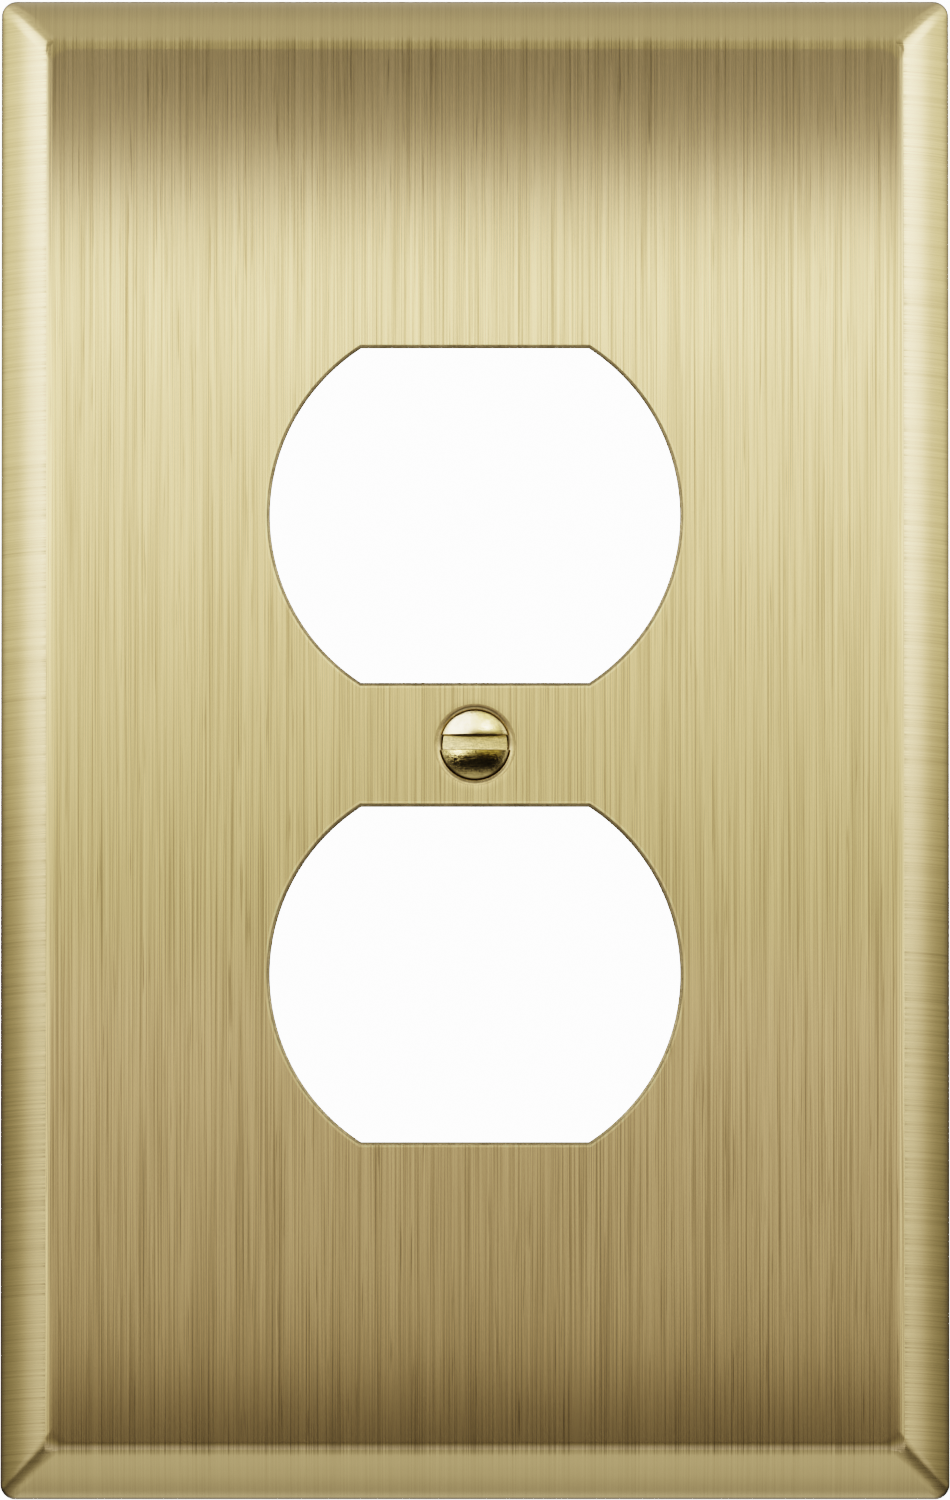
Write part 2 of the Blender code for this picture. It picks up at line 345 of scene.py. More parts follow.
def opening_outline(centre, grow, forward):
    radius = OPENING_ARC_RADIUS + grow
    offset = OPENING_HALF_WIDTH - OPENING_ARC_RADIUS
    flat_angle = asin((OPENING_HALF_HEIGHT + grow) / radius)
    outline = []
    for side, middle in ((1, 0.0), (-1, pi)):
        for i in range(OPENING_ARC_STEPS + 1):
            angle = middle - flat_angle + 2 * flat_angle * i / OPENING_ARC_STEPS
            x = side * offset + radius * cos(angle)
            outline.append(at(x, centre + radius * sin(angle), forward))
    return outline


def punch_opening(shape, centre):
    """Rolled edge, sheared band, torn band and burr of one opening; returns its first and last ring."""
    back = PLATE_BACK
    lip = OPENING_ROLLOVER + HIGHLIGHT_BAND
    rolled = [(OPENING_LAND, PLATE_DEPTH)] + rounded(
        [
            (lip, PLATE_DEPTH, 0),
            (0, PLATE_DEPTH, OPENING_ROLLOVER),
            (0, PLATE_DEPTH - OPENING_ROLLOVER - SHEARED_BAND, 0),
        ]
    )
    torn = [(0.5 * TORN_SLOPE, back + TORN_BAND), (TORN_SLOPE, back), (1.5 * TORN_SLOPE, back - BURR)]
    ends = [(3 * TORN_SLOPE, back), (OPENING_LAND, back)]
    rings = [add_ring(shape, opening_outline(centre, *point)) for point in rolled + torn + ends]
    for ring in rings[len(rolled) : -len(ends)]:
        for vertex in ring:
            wobble = noise.noise(vertex.co / TORN_LENGTH) * TORN_ROUGHNESS
            outward = Vector((vertex.co.x, 0, vertex.co.z - centre)).normalized()
            vertex.co += outward * wobble
    bridge_all(shape, rings[:2], FACE)
    # The band just outside the rolled edge is lighter brass: painted highlight.
    bridge_all(shape, rings[1:3], LIP)
    bridge_all(shape, rings[2 : -len(ends)], EDGE)
    bridge_all(shape, rings[-len(ends) - 1 :], BACK)
    return rings[0], rings[-1]


def press_dimple(shape):
    """Countersunk dimple from the flat face through to the back; returns its first and last ring."""
    lip = DIMPLE_RADIUS - DIMPLE_LIP_RADIUS * tan((pi / 2 - COUNTERSINK) / 2)
    cone_end = PLATE_DEPTH - (lip - SCREW_HOLE_RADIUS) / tan(COUNTERSINK)
    nose = PLATE_DEPTH - DIMPLE_DEPTH
    offset = lip + DIMPLE_SHEET / cos(COUNTERSINK)
    nose_radius = offset - DIMPLE_DEPTH * tan(COUNTERSINK)
    root_radius = offset - SHEET * tan(COUNTERSINK)
    front = rounded(
        [
            (DIMPLE_RADIUS + DIMPLE_LAND, PLATE_DEPTH, 0),
            (lip, PLATE_DEPTH, DIMPLE_LIP_RADIUS),
            (SCREW_HOLE_RADIUS, cone_end, DIMPLE_EDGE),
            (SCREW_HOLE_RADIUS, nose, DIMPLE_BORE_EDGE),
            (nose_radius, nose, DIMPLE_EDGE),
            (root_radius, PLATE_BACK, DIMPLE_ROOT_RADIUS),
            (root_radius + DIMPLE_LAND, PLATE_BACK, 0),
        ]
    )
    rings = [add_ring(shape, circle(*point)) for point in front]
    hole = next(i for i, (_, forward) in enumerate(front) if forward < nose + DIMPLE_BORE_EDGE / 6)
    bridge_all(shape, rings[:2], FACE)
    bridge_all(shape, rings[1:hole], PRESSED)
    bridge_all(shape, rings[hole - 1 :], BACK)
    return rings[0], rings[-1]


def build_cover_plate():
    shape = bmesh.new()
    front, rim, back = [[add_ring(shape, outline) for outline in part] for part in plate_outlines()]
    over_fold = sum(slope < BRUSHED_OVER_SLOPE for _, _, slope in side_profile())
    bridge_all(shape, front[:over_fold], FACE)
    bridge_all(shape, front[over_fold - 1 :] + rim[:1], side_slots())
    bridge_all(shape, rim, EDGE)
    bridge_all(shape, rim[-1:] + back, BACK)
    holes = [punch_opening(shape, centre) for centre in opening_centres()]
    holes.append(press_dimple(shape))
    fill_flat(shape, [front[0]] + [first for first, _ in holes], FACE)
    fill_flat(shape, [back[-1]] + [last for _, last in holes], BACK)
    plate = make_object("brushed_brass_cover", shape)
    materials = [
        brushed_brass("brass_brushed_upright", 0, 0.22, 0.95, calm=0.18),
        brushed_brass("brass_brushed_across", 2, 0.2, 0.8, calm=0.38),
        sheared_brass(),
        mill_brass(),
        # Lighter brass for the band outside each opening's rolled edge: painted highlight.
        brushed_brass("brass_highlight_band", 0, 0.3, 0.6, 1.22),
        pressed_brass(),
    ]
    finish_piece(plate, materials, "cover_plate", "plate")
    return plate


def opening_centres():
    """Height of each opening's middle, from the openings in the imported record."""
    boxes = {item["name"]: item["box_m"] for item in frame["record"]["physics"]["openings"]}
    middles = [boxes["upper_opening_middle"], boxes["lower_opening_middle"]]
    return [(low[2] + high[2]) / 2 for low, high in middles]


# Mounting screw


def dome_forward(distance):
    """Height of the head's dome above its rim, at a distance from the axis."""
    rise = DOME_HEIGHT - HEAD_EDGE
    radius = (HEAD_RADIUS**2 + rise**2) / (2 * rise)
    inside = min(distance, HEAD_RADIUS)
    return DOME_HEIGHT - radius + sqrt(radius**2 - inside**2)


def thread_radius(turns, total_turns):
    """Crest radius after some turns: the thread grows out of the root and fades back into it."""
    fade = min(1.0, turns / THREAD_FADE_TURNS, (total_turns - turns) / THREAD_FADE_TURNS)
    return THREAD_ROOT_RADIUS + (THREAD_MAJOR_RADIUS - THREAD_ROOT_RADIUS) * max(0.0, fade)


def add_thread(shape, bottom, top, bottom_ring, top_ring):
    """One right-handed helical ridge between two rings of the root cylinder, joined to both."""
    total_turns = int((top - bottom) / THREAD_PITCH) - 1
    lead = (top - bottom - (total_turns + 1) * THREAD_PITCH) / 2
    last = total_turns * THREAD_STEPS

    def on_helix(turns, along, depth):
        radius = THREAD_ROOT_RADIUS + (thread_radius(turns, total_turns) - THREAD_ROOT_RADIUS) * depth
        angle = 2 * pi * turns
        forward = bottom + lead + (turns + along) * THREAD_PITCH
        return shape.verts.new(at(radius * cos(angle), radius * sin(angle), forward))

    ribs = []
    for i in range(last + THREAD_STEPS + 1):
        points = THREAD_SECTION if i <= last else THREAD_SECTION[:1]
        ribs.append([on_helix(i / THREAD_STEPS, *point) for point in points])

    def seam(i):
        """A rib and the point where the next turn starts."""
        return ribs[i] + ribs[i + THREAD_STEPS][:1]

    for i in range(last):
        rib = seam(i)
        next_rib = seam(i + 1)
        for k in range(len(rib) - 1):
            shape.faces.new((rib[k], next_rib[k], next_rib[k + 1], rib[k + 1]))
    for i in range(THREAD_STEPS - 1):
        shape.faces.new((bottom_ring[i], bottom_ring[i + 1], ribs[i + 1][0], ribs[i][0]))
    shape.faces.new([bottom_ring[-1], bottom_ring[0], *seam(0), ribs[THREAD_STEPS - 1][0]])
    shape.faces.new([ribs[last + 1][0], top_ring[1], top_ring[0], *reversed(seam(last))])
    for i in range(1, THREAD_STEPS):
        j = (i + 1) % THREAD_STEPS
        shape.faces.new((ribs[last + i][0], ribs[last + i + 1][0], top_ring[j], top_ring[i]))


def screw_shape():
    neck_top = HEAD_SEAT - (HEAD_RADIUS - THREAD_ROOT_RADIUS) / tan(COUNTERSINK)
    tip = HEAD_SEAT + SCREW_TIP
    thread_top = WASHER_BACK - THREAD_BELOW_WASHER
    shape = bmesh.new()

    def ring(radius, forward):
        return add_ring(shape, circle(radius, forward, THREAD_STEPS))

    tip_ring = ring(THREAD_ROOT_RADIUS - TIP_CHAMFER, tip)
    chamfer_ring = ring(THREAD_ROOT_RADIUS, tip + TIP_CHAMFER)
    thread_ring = ring(THREAD_ROOT_RADIUS, thread_top)
    shape.faces.new(tip_ring)
    bridge(shape, tip_ring, chamfer_ring)
    add_thread(shape, tip + TIP_CHAMFER, thread_top, chamfer_ring, thread_ring)

    section = rounded(
        [
            (THREAD_ROOT_RADIUS, thread_top, 0),
            (THREAD_ROOT_RADIUS, neck_top, NECK_FILLET),
            (HEAD_RADIUS, HEAD_SEAT, HEAD_UNDER_EDGE_ROUND),
            (HEAD_RADIUS, HEAD_SEAT + HEAD_EDGE, HEAD_EDGE_ROUND),
            (DOME_START, HEAD_SEAT + dome_forward(DOME_START), 0),
        ]
    )
    for i in range(1, DOME_STEPS):
        radius = DOME_START * (1 - i / DOME_STEPS)
        section.append((radius, HEAD_SEAT + dome_forward(radius)))
    rings = [thread_ring] + [ring(*point) for point in section[1:]]
    bridge_all(shape, rings)
    apex = shape.verts.new(at(0, 0, HEAD_SEAT + DOME_HEIGHT))
    for i in range(THREAD_STEPS):
        shape.faces.new((rings[-1][i - 1], rings[-1][i], apex))
    return shape


def slot_shape():
    """Slot with a slightly crowned floor and a fine chamfer that follows the dome along both lips."""
    half_width = SLOT_WIDTH / 2
    half_length = HEAD_RADIUS + SLOT_OVERRUN
    shape = bmesh.new()
    rings = []
    for i in range(SLOT_SECTIONS + 1):
        x = half_length * (2 * i / SLOT_SECTIONS - 1)
        floor = DOME_HEIGHT - SLOT_DEPTH - x * x / (2 * SLOT_CROWN_RADIUS)
        sides = []
        for side in (-1, 1):
            lip_up = SLOT_OFFSET + side * half_width
            lip = dome_forward(sqrt(x * x + lip_up * lip_up))
            corners = [(0, floor, 0), (half_width, floor, SLOT_FLOOR_RADIUS), (half_width, lip, 0)]
            wall = rounded(corners)
            flare = SLOT_OVERRUN
            wall[-1] = (half_width, lip - SLOT_CHAMFER)
            wall.append((half_width + flare, lip - SLOT_CHAMFER + flare))
            wall.append((half_width + flare, DOME_HEIGHT + 2 * SLOT_OVERRUN))
            sides.append([at(x, SLOT_OFFSET + side * u, HEAD_SEAT + v) for u, v in wall])
        rings.append(add_ring(shape, sides[0][::-1] + sides[1][1:]))
    bridge_all(shape, rings, 1)
    for ring in (rings[0], rings[-1]):
        shape.faces.new(ring).material_index = 1
    return shape


def build_mounting_screw():
    screw = make_object("slotted_brass_screw", screw_shape())
    carve(screw, make_object("slot", slot_shape()))
    finish_piece(screw, [polished_brass(), milled_brass()], "mounting_screw", "screw")
    return screw


# Retaining washer


def build_retaining_washer():
    middle = (WASHER_BACK + WASHER_FRONT) / 2
    section = rounded(
        [
            (WASHER_HOLE_RADIUS, middle, 0),
            (WASHER_HOLE_RADIUS, WASHER_FRONT, WASHER_EDGE / 2),
            (WASHER_RADIUS, WASHER_FRONT, WASHER_EDGE),
            (WASHER_RADIUS, WASHER_BACK, WASHER_EDGE),
            (WASHER_HOLE_RADIUS, WASHER_BACK, WASHER_EDGE / 2),
            (WASHER_HOLE_RADIUS, middle, 0),
        ],
        radians(20),
    )[:-1]
    shape = bmesh.new()
    rings = []
    for radius, forward in section:
        points = circle(radius, forward, WASHER_STEPS)
        for point in points:
            ragged = WASHER_RAGGEDNESS * (noise.noise(point / WASHER_RAG_LENGTH) - 1)
            point += Vector((point.x, 0, point.z)).normalized() * ragged
        rings.append(add_ring(shape, points))
    bridge_all(shape, rings + rings[:1])
    washer = make_object("red_fibre_washer", shape)
    finish_piece(washer, [red_fibre()], "screw_retaining_washer", "washer")


# Shader helpers


def node(tree, kind, inputs=None, **settings):
    """Shader node with its settings and inputs, each input a value or another node's output."""
    made = tree.nodes.new("ShaderNode" + kind)
    for name, value in settings.items():
        setattr(made, name, value)
    for name, value in (inputs or {}).items():
        if isinstance(value, bpy.types.NodeSocket):
            tree.links.new(value, made.inputs[name])
        else:
            made.inputs[name].default_value = value
    return made


def maths(tree, operation, *values):
    return node(tree, "Math", dict(enumerate(values)), operation=operation).outputs[0]


def span(tree, value, low, high, to_low=0.0, to_high=1.0, smooth=False):
    """Take "value" from the range low..high to another range, and hold it at the ends."""
    inputs = {"Value": value, "From Min": low, "From Max": high, "To Min": to_low, "To Max": to_high}
    kind = "SMOOTHSTEP" if smooth else "LINEAR"
    return node(tree, "MapRange", inputs, interpolation_type=kind).outputs[0]


def mix(tree, factor, a, b, blend="MIX"):
    made = node(tree, "Mix", {0: factor, 6: a, 7: b}, data_type="RGBA", blend_type=blend)
    return made.outputs[2]


def ramp(tree, value, stops):
    """Colour that follows "value" through stops of (value, colour)."""
    low, high = stops[0][0], stops[-1][0]
    made = node(tree, "ValToRGB", {0: span(tree, value, low, high)})
    elements = made.color_ramp.elements
    elements.remove(elements[1])
    elements[0].position = 0.0
    elements[0].color = stops[0][1]
    for position, colour in stops[1:]:
        elements.new((position - low) / (high - low)).color = colour
    return made.outputs[0]


def tint(colour, factor=1.0):
    return (*(min(1.0, channel * factor) for channel in colour), 1.0)


def shades(colour, *levels):
    """Ramp stops (value, colour) that are one colour at several levels, each (value, brightness)."""
    return [(value, tint(colour, brightness)) for value, brightness in levels]


def light(level, green=1.0, blue=1.0):
    """Light of a brightness, with its green and its blue as shares of that."""
    return (level, level * green, level * blue, 1.0)


def stretched_noise(tree, place, size, detail=2.0):
    """Noise whose features have about this size along X, Y and Z."""
    scale = [1 / side for side in size]
    inputs = {"Vector": node(tree, "Mapping", {"Vector": place, "Scale": scale}).outputs[0]}
    inputs.update({"Scale": 1.0, "Detail": detail, "Roughness": 0.6})
    return node(tree, "TexNoise", inputs).outputs[0]


def start_material(name, metallic):
    material = bpy.data.materials.new(name)
    material.use_nodes = True
    tree = material.node_tree
    shader = tree.nodes["Principled BSDF"]
    shader.inputs["Metallic"].default_value = metallic
    return material, tree, shader, node(tree, "TexCoord").outputs["Object"]


def connect(tree, shader, colour, roughness, height, depth, strength=1.0):
    """Colour, roughness and a bump "depth" metres deep."""
    tree.links.new(colour, shader.inputs["Base Color"])
    tree.links.new(roughness, shader.inputs["Roughness"])
    bump = node(tree, "Bump", {"Height": height, "Distance": depth, "Strength": strength})
    tree.links.new(bump.outputs[0], shader.inputs["Normal"])


# Materials


def brushed_brass(name, across_axis, roughness, anisotropy, shine=1.0, calm=1.0):
    """Brass brushed in long straight lines that differ along one axis, 0 for X or 2 for Z.

    The lines on the sloping sides keep only the share "calm" of their strength, and the colour at the
    foot of the sides is darkened, more so towards the plate's lower end: painted shade.
    """
    material, tree, shader, place = start_material(name, 1.0)
    reach = 3 if across_axis == 2 else 1

    def lines(width, length, detail=2.0):
        size = [length * reach] * 3
        size[across_axis] = width
        return stretched_noise(tree, place, size, detail)

    fine = lines(0.12 * MM, 26 * MM)
    medium = lines(0.42 * MM, 45 * MM)
    broad = lines(2.6 * MM, 80 * MM, 1.0)
    scratch = lines(0.17 * MM, 9 * MM, 1.0)
    tone = maths(tree, "MULTIPLY_ADD", fine, 0.83, maths(tree, "MULTIPLY", medium, 0.13))
    tone = maths(tree, "MULTIPLY_ADD", broad, 0.04, tone)
    _, back, up = node(tree, "SeparateXYZ", {0: place}).outputs
    forward = maths(tree, "MULTIPLY", back, -1.0)
    edge, flat = PLATE_DEPTH - 0.55 * MM, PLATE_DEPTH - 0.05 * MM
    strength = span(tree, forward, edge, flat, calm, 1.0, smooth=True)
    lift = maths(tree, "MULTIPLY", maths(tree, "SUBTRACT", tone, 0.5), strength)
    tone = maths(tree, "ADD", lift, 0.5)
    stops = shades(BRASS, (0.315, 0.5 * shine), (0.5, shine), (0.64, 1.24 * shine))
    colour = ramp(tree, tone, stops)
    worn = maths(tree, "MULTIPLY", span(tree, scratch, 0.66, 0.78), strength)
    colour = mix(tree, worn, colour, tint(BRASS, 0.55))
    # Painted shade: at the foot of the sides, near the wall, the colour goes to a dark brass, darker
    # towards the plate's lower end.
    rim = span(tree, forward, 0.65 * MM, 1.15 * MM, smooth=True)
    lowered = span(tree, up, 30 * MM, -20 * MM, smooth=True)
    upper_rim_shade = tint(SHEARED_BRASS_AND_SHADE, 1.2 if across_axis == 2 else 0.5)
    rim_shade = mix(tree, lowered, upper_rim_shade, tint(SHEARED_BRASS_AND_SHADE, 0.35))
    colour = mix(tree, rim, rim_shade, colour)
    rough = span(tree, tone, 0.3, 0.7, roughness * 1.18, roughness * 0.86)
    connect(tree, shader, colour, rough, maths(tree, "MULTIPLY", fine, strength), 0.004 * MM, 0.6)
    shader.inputs["Anisotropic"].default_value = anisotropy
    spread = (1.0, 0.0, 0.0) if across_axis == 0 else (0.0, 0.0, 1.0)
    direction = node(tree, "CombineXYZ", dict(enumerate(spread))).outputs[0]
    tree.links.new(direction, shader.inputs["Tangent"])
    return material


def sheared_brass():
    """Punched and trimmed edges: dark, dull, with fine tool lines through the sheet."""
    material, tree, shader, place = start_material("brass_sheared_edge", 1.0)
    lines = stretched_noise(tree, place, (0.09 * MM, 1.2 * MM, 0.09 * MM))
    stain = stretched_noise(tree, place, (1.4 * MM,) * 3, 3.0)
    tone = maths(tree, "MULTIPLY_ADD", lines, 0.6, maths(tree, "MULTIPLY", stain, 0.4))
    stops = shades(SHEARED_BRASS_AND_SHADE, (0.32, 0.6), (0.5, 1.0), (0.7, 1.7))
    rough = span(tree, tone, 0.3, 0.7, 0.55, 0.4)
    connect(tree, shader, ramp(tree, tone, stops), rough, lines, 0.01 * MM)
    return material


def pressed_brass():
    """Dimple pressed for the screw's head: dull and cloudy, and darker deep in it, under the head:
    painted shade.
    """
    material, tree, shader, place = start_material("brass_pressed_dimple", 1.0)
    cloud = stretched_noise(tree, place, (0.8 * MM,) * 3, 3.0)
    speck = stretched_noise(tree, place, (0.14 * MM,) * 3)
    tone = maths(tree, "MULTIPLY_ADD", cloud, 0.6, maths(tree, "MULTIPLY", speck, 0.4))
    stops = shades(BRASS, (0.34, 0.5), (0.5, 0.66), (0.66, 0.84))
    # Painted shade: below the first fraction of a millimetre the dimple goes to a dark brass, where the
    # head overhangs it.
    forward = maths(tree, "MULTIPLY", node(tree, "SeparateXYZ", {0: place}).outputs[1], -1.0)
    unshaded = span(tree, forward, PLATE_DEPTH - 0.26 * MM, PLATE_DEPTH - 0.09 * MM, smooth=True)
    colour = mix(tree, unshaded, tint(SHEARED_BRASS_AND_SHADE, 0.45), ramp(tree, tone, stops))
    rough = span(tree, tone, 0.3, 0.7, 0.24, 0.16)
    connect(tree, shader, colour, rough, tone, 0.008 * MM)
    return material


def mill_brass():
    """Unbrushed back: rolling lines, a soft cloudy tarnish and a few stains."""
    material, tree, shader, place = start_material("brass_mill_finish", 1.0)
    rolled = stretched_noise(tree, place, (0.3 * MM, 3 * MM, 12 * MM))
    cloud = stretched_noise(tree, place, (14 * MM,) * 3, 4.0)
    speck = stretched_noise(tree, place, (0.7 * MM,) * 3, 3.0)
    tone = maths(tree, "MULTIPLY_ADD", rolled, 0.35, maths(tree, "MULTIPLY", cloud, 0.65))
    stops = shades(MILL_BRASS, (0.32, 0.8), (0.5, 0.94), (0.68, 1.05))
    colour = ramp(tree, tone, stops)
    colour = mix(tree, span(tree, speck, 0.64, 0.76, 0.0, 0.6), colour, tint(SHEARED_BRASS_AND_SHADE, 1.4))
    rough = span(tree, cloud, 0.3, 0.7, 0.42, 0.32)
    height = maths(tree, "MULTIPLY_ADD", rolled, 0.7, maths(tree, "MULTIPLY", speck, 0.3))
    connect(tree, shader, colour, rough, height, 0.012 * MM)
    return material


def lip_shade(tree, across, up):
    """Share of painted shade on the dome just above the slot, strongest right of the middle."""
    above = maths(tree, "SUBTRACT", up, SLOT_LIP_UP)
    near = span(tree, above, 0.6 * MM, 0.05 * MM, smooth=True)
    near = maths(tree, "MULTIPLY", near, maths(tree, "GREATER_THAN", above, -SLOT_WIDTH / 2))
    aside = maths(tree, "ABSOLUTE", maths(tree, "SUBTRACT", across, 0.8 * MM))
    return maths(tree, "MULTIPLY", near, span(tree, aside, 2.4 * MM, 0.6 * MM, 0.0, 0.96, smooth=True))


def dark_reflection_patch(tree, across, up, specks):
    """Share of a painted dark reflection in an oval with a speckled outline, on the dome below the
    slot.
    """
    low = maths(tree, "DIVIDE", maths(tree, "ADD", up, 1.45 * MM), 0.85 * MM)
    wide = maths(tree, "DIVIDE", maths(tree, "SUBTRACT", across, 0.1 * MM), 1.9 * MM)
    reach = maths(tree, "MULTIPLY_ADD", low, low, maths(tree, "MULTIPLY", wide, wide))
    reach = maths(tree, "MULTIPLY_ADD", maths(tree, "SUBTRACT", specks, 0.5), 2.2, reach)
    return span(tree, reach, 1.25, 0.6, 0.0, 0.75, smooth=True)


def polished_brass():
    """Screw brass: bright, a little uneven, with specks and fine scratches, painted shade above the
    slot and round the head's rim, and a painted dark reflection below the slot.
    """
    material, tree, shader, place = start_material("brass_polished", 1.0)
    dents = stretched_noise(tree, place, (0.5 * MM,) * 3, 3.0)
    specks = stretched_noise(tree, place, (0.12 * MM,) * 3, 2.0)
    marks = stretched_noise(tree, place, (0.9 * MM, 0.9 * MM, 0.05 * MM), 1.0)
    stops = shades(SCREW_BRASS, (0.32, 0.8), (0.5, 1.0), (0.68, 1.1))
    colour = ramp(tree, dents, stops)
    colour = mix(tree, span(tree, specks, 0.66, 0.78, 0.0, 0.6), colour, tint(SCREW_BRASS, 0.45))
    across, _, up = node(tree, "SeparateXYZ", {0: place}).outputs
    # Painted shade on the dome just above the slot's upper lip.
    colour = mix(tree, lip_shade(tree, across, up), colour, tint(SCREW_BRASS, 0.1))
    # Painted dark reflection in an oval below the slot.
    colour = mix(tree, dark_reflection_patch(tree, across, up, specks), colour, tint(SCREW_BRASS, 0.2))
    square = maths(tree, "MULTIPLY_ADD", up, up, maths(tree, "MULTIPLY", across, across))
    radius = maths(tree, "SQRT", square)
    # Painted shade: the head's outer rim goes to a dark brass.
    edge = span(tree, radius, HEAD_RADIUS - 0.14 * MM, HEAD_RADIUS - 0.05 * MM, 0.0, 0.7)
    colour = mix(tree, edge, colour, tint(SHEARED_BRASS_AND_SHADE, 0.8))
    rough = span(tree, specks, 0.35, 0.65, 0.12, 0.22)
    height = maths(tree, "MULTIPLY_ADD", dents, 0.6, maths(tree, "MULTIPLY", marks, 0.2))
    height = maths(tree, "MULTIPLY_ADD", specks, 0.2, height)
    connect(tree, shader, colour, rough, height, 0.03 * MM)
    return material


def milled_brass():
    """Screw slot: cutter lines along X, torn specks, and painted shade over the upper wall from its
    foot, lighter towards the ends.
    """
    material, tree, shader, place = start_material("brass_milled_slot", 1.0)
    lines = stretched_noise(tree, place, (1.5 * MM, 0.05 * MM, 0.05 * MM))
    torn = stretched_noise(tree, place, (0.1 * MM,) * 3, 3.0)
    tone = maths(tree, "MULTIPLY_ADD", lines, 0.5, maths(tree, "MULTIPLY", torn, 0.5))
    stops = shades(SCREW_BRASS, (0.38, 0.4), (0.5, 0.8), (0.6, 1.13))
    across, _, up = node(tree, "SeparateXYZ", {0: place}).outputs
    bow = maths(tree, "POWER", maths(tree, "DIVIDE", across, 2.7 * MM), 2.0)
    # Painted shade: the upper wall and its chamfer go to a dark brass, less so towards the slot's ends.
    shade_width = 0.16 * MM
    foot = maths(tree, "MULTIPLY_ADD", bow, shade_width, SLOT_LIP_UP - shade_width)
    above = maths(tree, "SUBTRACT", up, foot)
    slot_shade = span(tree, above, -0.05 * MM, 0.04 * MM, smooth=True)
    aside = maths(tree, "ABSOLUTE", across)
    middle = span(tree, aside, 2.8 * MM, 1.6 * MM, 0.25, 1.0, smooth=True)
    slot_shade = maths(tree, "MULTIPLY", slot_shade, middle)
    colour = mix(tree, slot_shade, ramp(tree, tone, stops), tint(SHEARED_BRASS_AND_SHADE, 0.3))
    rough = span(tree, torn, 0.3, 0.7, 0.28, 0.42)
    connect(tree, shader, colour, rough, tone, 0.03 * MM)
    return material


def red_fibre():
    """Vulcanised fibre: matt dark red with pressed fibres and pale scuffed spots."""
    material, tree, shader, place = start_material("red_vulcanised_fibre", 0.0)
    fibres = stretched_noise(tree, place, (0.1 * MM, 0.1 * MM, 0.7 * MM), 3.0)
    crossing = stretched_noise(tree, place, (0.8 * MM, 0.1 * MM, 0.1 * MM), 3.0)
    cloud = stretched_noise(tree, place, (1.6 * MM,) * 3, 3.0)
    weave = maths(tree, "MAXIMUM", fibres, crossing)
    tone = maths(tree, "MULTIPLY_ADD", weave, 0.5, maths(tree, "MULTIPLY", cloud, 0.5))
    stops = ((0.35, tint(FIBRE, 0.6)), (0.52, tint(FIBRE)), (0.7, tint(SCUFFED_FIBRE)))
    rough = span(tree, weave, 0.4, 0.7, 0.82, 0.62)
    connect(tree, shader, ramp(tree, tone, stops), rough, weave, 0.03 * MM)
    return material


# Studio


def build_camera():
    """Long lens, a little below the plate's middle, its picture just wider than the cover."""
    distance = 2.9
    below = radians(4.4)
    picture_height = 127.0 * MM
    data = bpy.data.cameras.new("camera")
    data.sensor_width = 36.0
    data.lens = data.sensor_width * distance / picture_height
    data.clip_end = 20.0
    camera = bpy.data.objects.new("camera", data)
    aim = Vector((0.0, 0.0, -0.03 * MM))
    away = Vector((0.0, -cos(below), -sin(below)))
    camera.location = aim + away * distance
    camera.rotation_euler = away.to_track_quat("Z", "Y").to_euler()
    bpy.context.scene.collection.objects.link(camera)
    bpy.context.scene.camera = camera


def upright_corners(left, right, y, low, high):
    return [(left, y, low), (right, y, low), (right, y, high), (left, y, high)]


def make_sheet(name, corners):
    """A flat four-cornered stage object that faces the plate, with coordinates from 0 to 1 on it."""
    mesh = bpy.data.meshes.new(name)
    mesh.from_pydata(corners, [], [(0, 1, 2, 3)])
    layer = mesh.uv_layers.new(name="across and up")
    for loop, uv in zip(layer.data, ((0, 0), (1, 0), (1, 1), (0, 1))):
        loop.uv = uv
    if mesh.polygons[0].normal.dot(Vector(corners[0])) > 0:
        mesh.flip_normals()
    item = bpy.data.objects.new(name, mesh)
    bpy.context.scene.collection.objects.link(item)
    return item


def light_sheet(name, corners, across_stops, up_stops, opaque=False):
    """A sheet that shines to the plate's side, its light shaped across and up, unseen by the camera."""
    item = make_sheet(name, corners)
    material = bpy.data.materials.new(name)
    material.use_nodes = True
    tree = material.node_tree
    tree.nodes.clear()
    place = node(tree, "SeparateXYZ", {0: node(tree, "TexCoord").outputs["UV"]})
    across = ramp(tree, place.outputs[0], across_stops)
    up = ramp(tree, place.outputs[1], up_stops)
    colour = mix(tree, 1.0, across, up, "MULTIPLY")
    front = maths(tree, "SUBTRACT", 1.0, node(tree, "NewGeometry").outputs["Backfacing"])
    shine = node(tree, "Emission", {"Color": colour, "Strength": front}).outputs[0]
    if not opaque:
        clear = node(tree, "BsdfTransparent").outputs[0]
        shine = node(tree, "AddShader", {0: shine, 1: clear}).outputs[0]
    output = node(tree, "OutputMaterial", {"Surface": shine})
    output.is_active_output = True
    item.data.materials.append(material)
    item.visible_camera = False
    return item


def lit_only(item, receiver):
    """Let a light sheet shine on one object only."""
    group = bpy.data.collections.new(item.name + " shines on")
    group.objects.link(receiver)
    item.light_linking.receiver_collection = group


